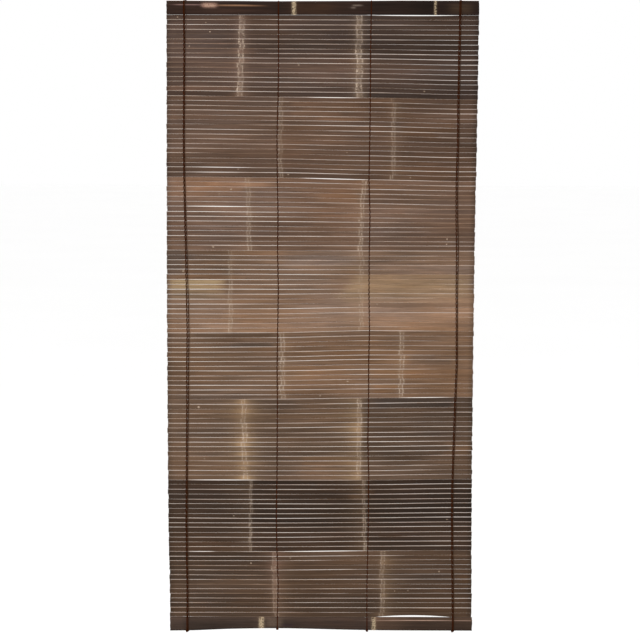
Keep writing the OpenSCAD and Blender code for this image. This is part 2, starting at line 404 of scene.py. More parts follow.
# ---------------------------------------------------------------- node graphs
class Graph:
    """Short calls that add shader nodes to a material."""

    def __init__(self, name):
        self.material = bpy.data.materials.new(name)
        self.material.use_nodes = True
        self.nodes, self.links = self.material.node_tree.nodes, self.material.node_tree.links
        self.shader = self.nodes["Principled BSDF"]

    def put(self, socket, value):
        if isinstance(value, bpy.types.NodeSocket):
            self.links.new(value, socket)
        else:
            socket.default_value = value

    def set(self, name, value):
        self.put(self.shader.inputs[name], value)

    def attribute(self, name, output="Color"):
        n = self.nodes.new("ShaderNodeAttribute")
        n.attribute_type = "GEOMETRY"
        n.attribute_name = name
        return n.outputs[output]

    def place(self, scale, shift=None):
        """The row frame's place, in metres, scaled along each axis, and moved by a float times three numbers."""
        coord = self.nodes.new("ShaderNodeTexCoord").outputs["Object"]
        n = self.nodes.new("ShaderNodeVectorMath")
        n.operation = "MULTIPLY"
        self.put(n.inputs[0], coord)
        n.inputs[1].default_value = scale
        out = n.outputs[0]
        if shift is not None:
            value, by = shift
            s = self.nodes.new("ShaderNodeVectorMath")
            s.operation = "SCALE"
            s.inputs[0].default_value = by
            self.put(s.inputs["Scale"], value)
            a = self.nodes.new("ShaderNodeVectorMath")
            a.operation = "ADD"
            self.put(a.inputs[0], out)
            self.put(a.inputs[1], s.outputs[0])
            out = a.outputs[0]
        return out

    def noise(self, vector, scale=1.0, detail=3.0, rough=0.55, distort=0.0):
        n = self.nodes.new("ShaderNodeTexNoise")
        self.put(n.inputs["Vector"], vector)
        n.inputs["Scale"].default_value = scale
        n.inputs["Detail"].default_value = detail
        n.inputs["Roughness"].default_value = rough
        n.inputs["Distortion"].default_value = distort
        return n.outputs["Fac"]

    def math(self, operation, a, b=0.0, clamp=False):
        n = self.nodes.new("ShaderNodeMath")
        n.operation = operation
        n.use_clamp = clamp
        self.put(n.inputs[0], a)
        self.put(n.inputs[1], b)
        return n.outputs[0]

    def remap(self, value, a, b, c, d):
        n = self.nodes.new("ShaderNodeMapRange")
        n.clamp = True
        self.put(n.inputs["Value"], value)
        for key, x in zip(("From Min", "From Max", "To Min", "To Max"), (a, b, c, d)):
            n.inputs[key].default_value = x
        return n.outputs["Result"]

    def mix(self, share, a, b, blend="MIX"):
        n = self.nodes.new("ShaderNodeMix")
        n.data_type = "RGBA"
        n.blend_type = blend
        self.put(n.inputs["Factor"], share)
        ins = [s for s in n.inputs if s.type == "RGBA"]
        self.put(ins[0], a)
        self.put(ins[1], b)
        return next(s for s in n.outputs if s.type == "RGBA")

    def scaled(self, colour, factor):
        """A colour times a number."""
        n = self.nodes.new("ShaderNodeVectorMath")
        n.operation = "SCALE"
        self.put(n.inputs[0], colour)
        self.put(n.inputs["Scale"], factor)
        return n.outputs[0]

    def bump(self, height, strength, distance):
        n = self.nodes.new("ShaderNodeBump")
        n.inputs["Strength"].default_value = strength
        n.inputs["Distance"].default_value = distance
        self.put(n.inputs["Height"], height)
        self.put(self.shader.inputs["Normal"], n.outputs["Normal"])


def rgb(r, g, b):
    """A linear colour from 0 to 255 sRGB values."""
    return (*linear(np.array([r, g, b]) / 255.0), 1.0)


def bamboo_material(name, cream, fleck, gloss, sheen):
    """Stained bamboo: the stain comes with the mesh, and the grain, fibres, flecks and speckled
    node rings are added here."""
    g = Graph(name)
    base = g.attribute("stain")
    own = g.attribute("own", "Fac")
    knot = g.attribute("knot", "Fac")
    side = g.attribute("side", "Fac")
    streak = g.noise(g.place((9.0, 60.0, 330.0), (own, (37.0, 11.0, 53.0))), 1.0, 4.0, 0.6, 0.2)
    fibre = g.noise(g.place((46.0, 400.0, 1900.0), (own, (71.0, 5.0, 29.0))), 1.0, 3.0, 0.6)
    patch = g.noise(g.place((17.0, 60.0, 90.0), (own, (13.0, 7.0, 19.0))), 1.0, 2.0, 0.5)
    light = g.math(
        "MULTIPLY",
        g.remap(streak, 0.30, 0.70, 0.74, 1.26),
        g.remap(fibre, 0.25, 0.75, 0.80, 1.20),
    )
    colour = g.scaled(base, light)
    # warm and grey patches, where the stain took unevenly
    colour = g.mix(g.remap(patch, 0.52, 0.72, 0.0, 0.20), colour, g.mix(1.0, colour, (1.16, 0.95, 0.76, 1.0), "MULTIPLY"))
    colour = g.mix(g.remap(patch, 0.46, 0.28, 0.0, 0.34), colour, g.mix(1.0, colour, (0.93, 0.96, 1.06, 1.0), "MULTIPLY"))
    dash = g.noise(g.place((130.0, 500.0, 2100.0), (own, (23.0, 3.0, 61.0))), 1.0, 1.0, 0.5)
    colour = g.mix(g.remap(dash, 0.66, 0.76, 0.0, fleck), colour, g.mix(1.0, colour, (0.42, 0.38, 0.36, 1.0), "MULTIPLY"))
    # the node rings: pale grains with dark pits
    grain = g.noise(g.place((390.0, 320.0, 340.0), (own, (31.0, 17.0, 43.0))), 1.0, 2.0, 0.6)
    pale = g.math("MULTIPLY", knot, g.remap(grain, 0.40, 0.56, 0.05, 1.30), True)
    colour = g.mix(pale, colour, cream)
    pit = g.math("MULTIPLY", g.remap(knot, 0.12, 0.50, 0.0, 0.90), g.remap(grain, 0.43, 0.34, 0.0, 1.0), True)
    colour = g.mix(pit, colour, g.mix(1.0, colour, (0.34, 0.28, 0.25, 1.0), "MULTIPLY"))
    # the inner face, with fibre ends showing as fine dark dots in paler pith
    dots = g.noise(g.place((160.0, 700.0, 1300.0), (own, (3.0, 29.0, 47.0))), 1.0, 2.0, 0.6)
    inner = g.mix(g.remap(dots, 0.42, 0.64, 0.0, 0.55), g.mix(1.0, colour, (1.30, 1.26, 1.16, 1.0), "MULTIPLY"), g.mix(1.0, colour, (0.66, 0.62, 0.60, 1.0), "MULTIPLY"))
    colour = g.mix(side, colour, inner)
    g.set("Base Color", colour)
    rough = g.math("ADD", g.remap(fibre, 0.3, 0.7, gloss - 0.08, gloss + 0.10), g.math("MULTIPLY", side, 0.18))
    g.set("Roughness", g.math("ADD", rough, g.math("MULTIPLY", pale, 0.16), True))
    g.shader.inputs["Specular IOR Level"].default_value = sheen
    height = g.math("ADD", g.math("MULTIPLY", fibre, 0.55), g.math("MULTIPLY", streak, 0.45))
    height = g.math("ADD", height, g.math("MULTIPLY", pale, 0.7))
    g.bump(height, 0.35, 0.0004)
    return g.material


def thread_material(name, dark, light, turns):
    """Twisted brown yarn: fine slanting fibres and fuzz."""
    g = Graph(name)
    ply = g.attribute("ply", "Fac")
    own = g.attribute("own", "Fac")
    hair = g.noise(g.place((900.0, 900.0, 900.0), (own, (17.0, 41.0, 23.0))), 1.0, 3.0, 0.65)
    wave = g.math("SINE", g.math("MULTIPLY", ply, turns))
    share = g.math("ADD", g.remap(hair, 0.3, 0.7, 0.0, 0.65), g.remap(wave, -1.0, 1.0, 0.0, 0.35), True)
    # painted shade: darker where the strands cross in the gaps between slats
    deep = g.attribute("painted_gap_shade", "Fac")
    g.set("Base Color", g.mix(g.math("MULTIPLY", deep, 0.75), g.mix(share, dark, light), dark))
    g.set("Roughness", g.remap(hair, 0.2, 0.8, 0.72, 0.95))
    g.shader.inputs["Specular IOR Level"].default_value = 0.0
    g.bump(g.math("ADD", g.math("MULTIPLY", wave, 0.5), hair), 0.5, 0.0003)
    return g.material


def steel_material(name):
    """Zinc plated steel: fine scratches, dull patches."""
    g = Graph(name)
    cloud = g.noise(g.place((220.0, 220.0, 220.0)), 1.0, 4.0, 0.6)
    scratch = g.noise(g.place((3500.0, 3500.0, 240.0)), 1.0, 2.0, 0.5)
    share = g.math("ADD", g.remap(cloud, 0.3, 0.7, 0.0, 0.7), g.remap(scratch, 0.3, 0.7, 0.0, 0.3), True)
    g.set("Base Color", g.mix(share, rgb(150, 150, 152), rgb(196, 195, 190)))
    g.set("Roughness", g.math("ADD", g.remap(cloud, 0.3, 0.7, 0.28, 0.48), g.remap(scratch, 0.3, 0.7, -0.04, 0.08)))
    g.shader.inputs["Metallic"].default_value = 1.0
    g.bump(scratch, 0.15, 0.0001)
    return g.material


SLAT_MAT = bamboo_material("slat_bamboo", rgb(182, 162, 143), 0.55, 0.55, 0.09)
BATTEN_MAT = bamboo_material("batten_bamboo", rgb(172, 152, 124), 0.45, 0.42, 0.05)
WARP_MAT = thread_material("warp_thread", rgb(18, 5, 1), rgb(80, 34, 8), 9.0)
CORD_MAT = thread_material("lift_cord", rgb(18, 9, 4), rgb(71, 39, 18), 6.0)
STEEL_MAT = steel_material("zinc_steel")


# ---------------------------------------------------------------- slats
# Section of a slat: (share of half width, share of half thickness), the outer face first
SECTION = np.array([
    (1.00, -0.12), (0.94, -0.66), (0.78, -0.92), (0.34, -1.00), (-0.34, -1.00), (-0.78, -0.92), (-0.94, -0.66), (-1.00, -0.12),
    (-0.98, 0.48), (-0.80, 0.88), (0.0, 1.0), (0.80, 0.88), (0.98, 0.48),
])
SECTION_SIDE = np.array([0, 0, 0, 0, 0, 0, 0, 0.1, 1, 1, 1, 1, 1])


def stations(x0, x1, fine):
    """Places along a strip, close together at the given (middle, reach, step)."""
    xs = list(np.linspace(x0, x1, int((x1 - x0) / 15) + 1))
    for middle, reach, step in fine:
        xs = [x for x in xs if abs(x - middle) > reach + 0.6 * step or x in (x0, x1)]
        xs += list(np.arange(middle - reach, middle + reach + 0.01, step))
    xs = np.array(sorted(x for x in xs if x0 <= x <= x1))
    keep = np.concatenate([[True], np.diff(xs) > 0.45])
    keep[-1] = True
    return xs[keep]


CULM_FIELDS = [[Field(np.random.default_rng(600 + 10 * c + i), *step) for i, step in enumerate(((3.5, 500), (3.0, 110), (5.0, 150)))] for c in range(len(CULMS))]
# Pale split-wood colour of the slats' long edges, also a painted highlight for light coming through the gaps
SPLIT_EDGE_AND_HIGHLIGHT = linear(np.array([186.0, 157.0, 133.0]) / 255.0)


def make_slat(k):
    rng = np.random.default_rng(1000 + k)
    culm = CULM_OF[k]
    share = (k - CULM_START[culm]) / max(CULMS[culm] - 1, 1)
    shift = RAGGED * (0.7 * deg_sin(k * 137.5) + 0.3 * deg_sin(k * 57)) + float(np.interp(k + 0.5, SWAY_AT, ASIDE))
    trim = RAGGED * (0.5 + 0.5 * deg_sin(k * 91)) - LONGER[culm]
    x0, x1 = -SLAT_LEN / 2 + shift + trim / 2, SLAT_LEN / 2 + shift - trim / 2
    nodes = node_places(k, rng)
    scars = [s + (rng.uniform(-0.4, 0.4),) for s in SCARS if s[1] == k]
    threads = [w + sway(i, k + d) for i, w in enumerate(WARPS) for d in (0, 1)]
    xs = stations(x0, x1, [(n[0], 10.0, 1.0) for n in nodes] + [(0.5 * (threads[i] + threads[i + 1]), 4.2, 1.05) for i in (0, 2, 4, 6)])
    n = len(xs)
    rises = lie(k + 0.5, xs)
    above, low_of_above = GAPS[k](xs)
    high_of_below, below = GAPS[k + 1](xs)
    # how strongly each long edge takes that colour: more where its gap is wider, as painted light through the gap
    raw_edge_and_highlight = [np.clip(w / 0.30, 0.42, 1.0) for w in (above - low_of_above, high_of_below - below)]
    top = gap_z(k) + low_of_above + rises
    low = gap_z(k + 1) + high_of_below + rises
    zc, hw = (top + low) / 2, (top - low) / 2
    bow, thick = Wander(rng, 190), Wander(rng, 120)
    yc = MID_Y + 0.12 * bow(xs)
    ht = SLAT_T / 2 * (0.97 + 0.05 * thick(xs))
    front = np.zeros(n)
    back = np.zeros(n)
    knot = np.zeros(n)
    haze = np.zeros(n)
    pink = np.zeros(n)
    for x, f in nodes:
        pale, apart, left, right, strong = f[2:]
        pale = pale[0] * (1 - share) + pale[1] * share
        apart = apart * rng.uniform(0.85, 1.15)
        ring = 0.09 * apart + (1.35 if culm == 0 else 0.65)
        one, two = bump(xs - x + apart / 2, ring), bump(xs - x - apart / 2, 0.96 * ring)
        front += 0.34 * one + 0.26 * two + 0.12 * bump(xs - x, 9.0)
        back += 0.22 * bump(xs - x, 6.0)
        own = 0.88 * pale * rng.uniform(0.50, 1.25)
        knot += own * np.maximum(np.maximum(one * rng.uniform(0.7, 1.05), two * rng.uniform(0.5, 1.05)), (0.30 if culm == 0 else 0.20) * bump(xs - x, apart * 0.6 + 1.5))
        d = xs - x
        wide = np.where(d < 0, left, right) * rng.uniform(0.7, 1.3)
        haze += strong * rng.uniform(0.6, 1.15) * np.exp(-np.abs(d / wide) ** 1.5)
        if (culm, f is CULM_NODES[culm][1]) in PINK:
            pink += (1 - 0.5 * share) * bump(d, 40.0)
    # stain along the slat
    a, b, c = CULM_STAIN[culm]
    first, second = nodes[0][0], nodes[1][0]
    s1 = ease(np.clip((xs - first + 4) / 8, 0, 1))
    s2 = ease(np.clip((xs - second + 4) / 8, 0, 1))
    def along(i):
        va, vb, vc = i(a), i(b), i(c)
        return va * (1 - s1) + vb * s1 * (1 - s2) + vc * s2
    level = along(lambda p: p[0] * (1 - share) + p[1] * share)
    warm = along(lambda p: p[2])
    row = k - CULM_START[culm]
    rise, cloud, hue = CULM_FIELDS[culm]
    level = level * (1 + CULM_SPREAD[culm] * rise(row, xs) + 0.045 * cloud(row, xs) + rng.normal(0, 0.022) + 0.035 * Wander(rng, 150)(xs) + 0.03 * Wander(rng, 45)(xs))
    warm = warm + 0.10 * hue(row, xs) + rng.normal(0, 0.035) + 0.07 * Wander(rng, 170)(xs) + 0.05 * Wander(rng, 60)(xs)
    for slat, f0, f1, dl, dw in ODD_SLATS:
        if slat == k:
            m = ease(np.clip((xs - f0) / 22, 0, 1)) * ease(np.clip((f1 - xs) / 22, 0, 1))
            level, warm = level + dl * m, warm + dw * m
    haze = np.clip(haze, 0, 1)
    warm = np.clip(warm, -0.15, 1.1)
    worn = (np.maximum(level + 22, 118) + 26 * np.clip(haze - 0.3, 0, 0.5) / 0.5) / 255.0
    red, yellow = CULM_HUE[culm]
    colours = stain(level, warm) * np.exp([0.0, -red, -red - yellow]) * (1 - haze[:, None]) + worn[:, None] * (np.array([1.05, 0.85, 0.63]) + pink[:, None] * np.array([0.02, -0.05, 0.07])) * haze[:, None]
    for slat, f0, f1, bare in TAN_SLATS:
        if slat == k:
            m = (bare * ease(np.clip((xs - f0) / 30, 0, 1)) * ease(np.clip((f1 - xs) / 30, 0, 1)))[:, None]
            colours = colours * (1 - m) + TAN * m
    colours = linear(np.clip(colours, 0, 1))

    m = len(SECTION)
    ragged = rng.uniform(-0.7, 0.7, (2, m))
    rings, tint, spots, sides = [], [], [], []
    for i, x in enumerate(xs):
        t, s = SECTION[:, 0], SECTION[:, 1]
        y = np.where(s < 0, s * (ht[i] + front[i] * (1 - 0.5 * t * t)), s * (ht[i] + back[i]))
        px = np.full(m, x)
        if i == 0:
            px = px + ragged[0]
        elif i == n - 1:
            px = px + ragged[1]
        rings.append(np.stack([px, yc[i] + y, zc[i] + t * hw[i]], 1) * MM)
        end = 1 - 0.25 * (bump(x - x0, 2.5) + bump(x - x1, 2.5))
        # the long edges: raw split-wood colour with a painted highlight for light through the gaps
        split_edge_and_highlight = (0.70 * np.where(t > 0, raw_edge_and_highlight[0][i], raw_edge_and_highlight[1][i]) * np.clip((np.abs(t) - 0.90) / 0.06, 0, 1))[:, None]
        tint.append((colours[i][None, :] * (1 - split_edge_and_highlight) + SPLIT_EDGE_AND_HIGHLIGHT[None, :] * split_edge_and_highlight) * end)
        spots.append(np.full(m, knot[i]))
        sides.append(SECTION_SIDE)
    verts, faces = loft(rings)
    verts = [verts]
    at = len(verts[0])
    # scars: small flakes of pale inner wood on the outer face
    for sx, _, sl, sh, strong, zt in scars:
        around = 11
        a = 2 * np.pi * np.arange(around) / around
        rough = rng.uniform(0.7, 1.2, around)
        px = sx + 0.5 * sl * rough * np.cos(a)
        pt = np.clip(zt + 0.5 * sh * rough * np.sin(a) / (SLAT_W / 2), -0.92, 0.92)
        px, pt = np.append(px, sx), np.append(pt, zt)
        z = np.interp(px, xs, zc) + pt * np.interp(px, xs, hw)
        s = np.interp(pt, SECTION[7::-1, 0], SECTION[7::-1, 1])
        y = np.interp(px, xs, yc) + s * (np.interp(px, xs, ht) + np.interp(px, xs, front)) + 0.05
        y[-1] -= 0.22
        verts.append(np.stack([px, y, z], 1) * MM)
        faces += [(at + i, at + around, at + (i + 1) % around) for i in range(around)]
        at += around + 1
        shade = linear(np.array([150.0, 128.0, 108.0]) / 255.0) * (0.45 + 0.55 * strong)
        tint.append(np.tile(shade, (around + 1, 1)))
        spots.append(np.append(np.full(around, 0.25 * strong), strong))
        sides.append(np.zeros(around + 1))
    verts = np.concatenate(verts)
    obj = new_mesh(f"slat_{k + 1:03d}", verts, faces)
    point_colour(obj, "stain", np.concatenate(tint))
    point_float(obj, "knot", np.concatenate(spots))
    point_float(obj, "side", np.concatenate(sides))
    point_float(obj, "own", np.full(len(verts), rng.uniform(0, 1)))
    obj.data.materials.append(SLAT_MAT)
    return obj


GROUP_OF = [g for g, n in enumerate(GROUPS) for _ in range(n)]
for k in range(N_SLATS):
    slat = make_slat(k)
    g = GROUP_OF[k]
    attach(slat, BODY[g + 1])
    if k == GROUP_START[g]:
        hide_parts(f"slat_group_{g + 1:02d}")


# ---------------------------------------------------------------- battens
def make_batten(name, z0, z1, seed, nodes, tone, marks, low_edge, high_edge, upper, hue):
    """A wide strip of split culm: crowned face, swollen node rings, worn edges."""
    rng = np.random.default_rng(seed)
    x0, x1 = -BATTEN_LEN / 2, BATTEN_LEN / 2
    xs = stations(x0, x1, [(p[0], 14.0, 1.4) for p in nodes] + [(mk[0], mk[1] * 1.15, 2.2) for mk in marks if mk[1] < 60])
    n = len(xs)
    shares = np.array([0.0, 0.04, 0.10, 0.17, 0.24, 0.32, 0.40, 0.48, 0.54, 0.60, 0.65, 0.70, 0.735, 0.755, 0.772, 0.79, 0.82, 0.86, 0.90, 0.95, 0.985, 1.0])
    face = -BATTEN_T * np.interp(shares, [0.0, 0.10, 0.24, 0.40, 0.56, 0.70, 0.82, 0.92, 0.98, 1.0], [0.80, 0.90, 0.97, 1.0, 1.0, 0.985, *upper])
    m_front = len(shares)
    back_shares = np.array([0.985, 0.94, 0.5, 0.06, 0.015])
    back_face = np.array([-0.55, -0.12, 0.0, -0.12, -0.55])
    high, low = high_edge(xs), low_edge(xs)
    knot, swell, haze = np.zeros(n), np.zeros(n), np.zeros(n)
    for x, wide, pale, size in nodes:
        d = xs - x
        knot += pale * np.exp(-np.abs(d / wide) ** 3)
        swell += size * (bump(d - wide * 0.6, 2.6) + 0.8 * bump(d + wide * 0.6, 2.6) - 0.35 * bump(d, 1.6))
        haze += 0.35 * pale * bump(d, 3.2 * wide)
    long, mid = Wander(rng, 160), Wander(rng, 40)
    rings, tint, spots, sides = [], [], [], []
    for i, x in enumerate(xs):
        zb, zt = z0 + low[i], z1 + high[i]
        zf = zb + (zt - zb) * shares
        yf = face - swell[i] * np.sin(np.pi * np.clip(shares, 0.08, 0.94))
        zr = zb + (zt - zb) * back_shares
        yr = back_face.copy()
        px = np.full(m_front + len(back_shares), x)
        if i in (0, n - 1):
            px = px + rng.uniform(-0.8, 0.8, len(px))
        rings.append(np.stack([px, np.concatenate([yf, yr]), np.concatenate([zf, zr])], 1) * MM)
        t = np.concatenate([shares, back_shares])
        level, warm = tone(x, t)
        level = level + 5 * long(x) + 2.5 * mid(x)
        level = level * (1 + haze[i] * 0.7)
        c = linear(np.clip(stain(level, np.full_like(level, warm)) * np.exp(hue), 0, 1))
        spot = np.full(len(t), knot[i])
        spot[m_front:] *= 0.4
        for mx, ml, mt, mh, ms, mc, speckle in marks:
            w = ms * math.exp(-abs((x - mx) / ml) ** 4) * np.exp(-np.abs((t - mt) / mh) ** 2.5)
            w[m_front:] = 0
            spot = np.maximum(spot, speckle * w)
            c = c * (1 - w[:, None]) + linear(np.array(mc) / 255.0)[None, :] * w[:, None]
        tint.append(c)
        spots.append(spot)
        sides.append(np.concatenate([np.zeros(m_front), np.ones(len(back_shares))]))
    # the section runs up the front and down the back, so faces are turned to look outward
    verts, faces = loft(rings)
    faces = [tuple(reversed(f)) for f in faces]
    obj = new_mesh(name, verts, faces)
    point_colour(obj, "stain", np.concatenate(tint))
    point_float(obj, "knot", np.concatenate(spots))
    point_float(obj, "side", np.concatenate(sides))
    point_float(obj, "own", np.full(len(verts), rng.uniform(0, 1)))
    obj.data.materials.append(BATTEN_MAT)
    return obj


def head_edge(x):
    """How far the head batten's top edge rises over its even height, in mm, at x."""
    return soft_table(np.array([-390.0, -100.0, 60.0, 190.0, 390.0]), np.array([0.0, -0.8, 0.1, 1.6, 1.5]), x) + 0.2 * np.sin(np.asarray(x) / 31.0) * np.sin(np.asarray(x) / 83.0)


def foot_edge(x):
    """How far the bottom batten's lower edge rises over its even height: it is cut hollow left of the middle."""
    x = np.asarray(x, float)
    return 5.0 * np.exp(-((x + 115) / 175) ** 2) - 2.2 * ease(np.clip((-230 - x) / 120, 0, 1))


def head_tone(x, t):
    warm = 0.55 + 0.25 * math.exp(-((x + 20) / 60) ** 2)
    level = 37 + 3 * math.exp(-((x + 20) / 70) ** 2) + 11 * np.clip((0.55 - t) / 0.2, 0, 1) * math.exp(-((x + 200) / 90) ** 2)
    level = level - (9 + 5 * (t - 0.5)) * ease(min(max((x - 85) / 60, 0), 1)) * ease(min(max((300 - x) / 30, 0), 1))
    # the top edge is lighter: partly a worn edge, partly a painted highlight where light falls on it from above
    return level + 22 * np.clip((t - 0.94) / 0.05, 0, 1), warm


def foot_tone(x, t):
    level = 50 + 15 * np.clip((t - 0.52) / 0.40, 0, 1) + 1 * ease(min(max((-150 - x) / 80, 0), 1)) + (9 if x < -350 else 0)
    if x > 140:
        level = level + 5 + 5 * np.clip((t - 0.745) / 0.03, 0, 1) + 12 * math.exp(-((x - 175) / 45) ** 2)
    warm = 0.30 if x < 140 else 0.60
    # the lowest strip is darker: painted shade on the rounded lower edge, which faces down
    return level - 9 * np.clip((0.16 - t) / 0.12, 0, 1), warm


HEAD_NODES = [(-72, 5.0, 0.95, 0.55), (281, 3.0, 0.75, 0.45)]
FOOT_NODES = [(-154, 6.5, 0.95, 0.55), (136, 5.0, 0.85, 0.55)]
# worn streaks and scars: x, half length, height share, spread of it, strength, colour, speckle
HEAD_MARKS = [
    (-210, 58, 0.665, 0.05, 0.55, (150, 108, 78), 0.1), (-225, 40, 0.70, 0.03, 0.45, (170, 126, 96), 0.2),
    (-335, 36, 0.71, 0.04, 0.55, (150, 116, 110), 0.1), (-283, 18, 0.68, 0.15, 0.80, (168, 122, 110), 0.55),
    (86, 12, 0.68, 0.05, 0.55, (124, 110, 102), 0.2), (76, 6, 0.52, 0.05, 0.45, (112, 98, 92), 0.2),
    (-20, 60, 0.5, 0.5, 0.16, (90, 62, 42), 0.0), (345, 30, 0.45, 0.35, 0.25, (96, 76, 56), 0.0),
]
FOOT_MARKS = [
    (240, 102, 0.772, 0.017, 1.0, (192, 160, 140), 0.0), (368, 24, 0.772, 0.017, 0.80, (166, 136, 120), 0.0),
    (250, 130, 0.90, 0.12, 0.12, (52, 38, 32), 0.0),
    (-95, 24, 0.30, 0.12, 0.6, (40, 30, 36), 0.0), (-120, 20, 0.55, 0.4, 0.4, (112, 92, 78), 0.1),
    (20, 90, 0.5, 0.4, 0.10, (98, 68, 56), 0.0),
]

head = make_batten(
    "head_batten_strip", -HEAD_H / 2, HEAD_H / 2, 7, HEAD_NODES, head_tone, HEAD_MARKS,
    lambda x: gap_z(0) + GAPS[0](x)[0] - HEAD_LOW, head_edge, (0.95, 0.89, 0.82, 0.74), (0.04, -0.07, -0.06),
)
foot = make_batten(
    "bottom_batten_strip", FOOT_LOW, FOOT_TOP, 8, FOOT_NODES, foot_tone, FOOT_MARKS,
    foot_edge,
    lambda x: gap_z(N_SLATS) + GAPS[N_SLATS](x)[1] - FOOT_TOP, (0.925, 0.80, 0.61, 0.455), (0.0, -0.01, 0.0),
)


def bore_back(obj, holes):
    """Round holes in the back face: (x, z, radius, depth)."""
    for x, z, r, deep in holes:
        s = 40 if r > 3 else 16
        ring = [(r * math.cos(2 * math.pi * i / s), r * math.sin(2 * math.pi * i / s)) for i in range(s)]
        verts = [((x + a) * MM, -deep * MM, (z + b) * MM) for a, b in ring] + [((x + a) * MM, 2 * MM, (z + b) * MM) for a, b in ring]
        faces = [tuple(range(s)), tuple(reversed(range(s, 2 * s)))]
        faces += [(i, s + i, s + (i + 1) % s, (i + 1) % s) for i in range(s)]
        tool = new_mesh("tool", verts, faces, smooth=False)
        cut = obj.modifiers.new("cut", "BOOLEAN")
        cut.operation, cut.solver, cut.object = "DIFFERENCE", "EXACT", tool
        bpy.context.view_layer.objects.active = obj
        with bpy.context.temp_override(object=obj, active_object=obj, selected_objects=[obj]):
            bpy.ops.object.modifier_apply(modifier="cut")
        mesh = tool.data
        bpy.data.objects.remove(tool)
        bpy.data.meshes.remove(mesh)


holes = []
for s in (-1, 1):
    holes += [(s * 280, 0, 6.0, 4.6), (s * 280, 9, 0.85, 5.2), (s * 280, -9, 0.85, 5.2)]
holes += [(c + CORD_BACK, 0, 0.95, 5.2) for c in CORDS]
bore_back(head, holes)
for piece, body in ((head, "head"), (foot, "bottom_batten")):
    piece.data.set_sharp_from_angle(angle=math.radians(38))
    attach(piece, body)
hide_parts("head_batten")
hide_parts("bottom_batten")


# ---------------------------------------------------------------- threads and cords
def tube(path, radius, sides, lobes=0, lobe=0.0, twist=0.0, start=0.0, carry=False):
    """A tube along a path of points, in mm: (rings, ply) with its section's lobes winding round it.
    carry turns the section with the path, for knots, whose path runs every way."""
    p = np.asarray(path, float)
    d = np.gradient(p, axis=0)
    d /= np.linalg.norm(d, axis=1)[:, None]
    side = np.array([1.0, 0.0, 0.0])
    run = start + np.concatenate([[0], np.cumsum(np.linalg.norm(np.diff(p, axis=0), axis=1))])
    ru, rv = radius if isinstance(radius, tuple) else (radius, radius)
    rings, ply = [], []
    for i in range(len(p)):
        # x stays the section's first axis, so that pieces meet ring to ring
        u = side - d[i] * (side @ d[i])
        u /= np.linalg.norm(u)
        if carry:
            side = u
        v = np.cross(d[i], u)
        a = 2 * np.pi * np.arange(sides) / sides
        r = 1 + lobe * np.cos(lobes * a - twist * run[i]) if lobes else np.ones(sides)
        rings.append(p[i] + r[:, None] * (ru * np.cos(a)[:, None] * u + rv * np.sin(a)[:, None] * v))
        ply.append(a * max(lobes, 2) / 9.0 + run[i] * 0.35)
    return rings, ply


def smooth_path(points, step):
    """Points every step mm or so on a Catmull-Rom curve through the given ones."""
    p = np.asarray(points, float)
    q = np.concatenate([[2 * p[0] - p[1]], p, [2 * p[-1] - p[-2]]])
    out = []
    for i in range(1, len(q) - 2):
        n = max(1, int(round(np.linalg.norm(q[i + 1] - q[i]) / step)))
        for t in np.arange(n) / n:
            a, b, c, d = q[i - 1], q[i], q[i + 1], q[i + 2]
            out.append(b + 0.5 * t * (c - a + t * (2 * a - 5 * b + 4 * c - d + t * (3 * (b - c) + d - a))))
    out.append(p[-1])
    return np.array(out)


def join_tubes(name, parts, material, seed):
    verts, faces, ply, own, painted_gap_shade, at = [], [], [], [], [], 0
    rng = np.random.default_rng(seed)
    for rings, lay in parts:
        v, f = loft([r * MM for r in rings])
        verts.append(v)
        faces += [tuple(at + i for i in face) for face in f]
        ply.append(np.concatenate(lay))
        y = np.repeat([np.mean(r[:, 1]) for r in rings], [len(r) for r in rings])
        # painted shade: 1 where a strand crosses in a gap between slats, 0 where it lies on a slat face
        painted_gap_shade.append(np.clip((0.93 - np.abs(y - MID_Y) / (HALF + STRAND)) / 0.40, 0, 1))
        own.append(np.full(len(v), rng.uniform(0, 1)))
        at += len(v)
    obj = new_mesh(name, np.concatenate(verts), faces)
    point_float(obj, "ply", np.concatenate(ply))
    point_float(obj, "painted_gap_shade", np.concatenate(painted_gap_shade))
    point_float(obj, "own", np.concatenate(own))
    obj.data.materials.append(material)
    return obj


STRAND = 0.70      # half thickness of a warp strand, front to back
WIDE = 1.06        # half width of a warp strand, pressed flat on the slats
LIFT = 1.00        # radius of a lift cord
SLIP = 0.90        # how far strands pass beside each other where they cross
FRONT = -BATTEN_T - 0.12
HALF = SLAT_T / 2 + 0.08


def item_middle(i, x):
    """Height of the middle of item i at x: 0 is the head batten, 1 to 126 are slats, 127 is the bottom batten."""
    k = i - 1
    top = gap_z(k) + GAPS[k](x)[1]
    low = gap_z(k + 1) + GAPS[k + 1](x)[0]
    return float((top + low) / 2 + lie(k + 0.5, x))


def gap_middle(j, x):
    above, below = GAPS[j](x)
    u = min(max(j, 0.25), N_SLATS - 0.25)
    return float(gap_z(j) + (above + below) / 2 + lie(u, x))


def node_swell(k, x):
    rng = np.random.default_rng(1000 + k)
    return sum(0.34 * float(bump(x - at, 7.0)) for at, _ in node_places(k, rng))


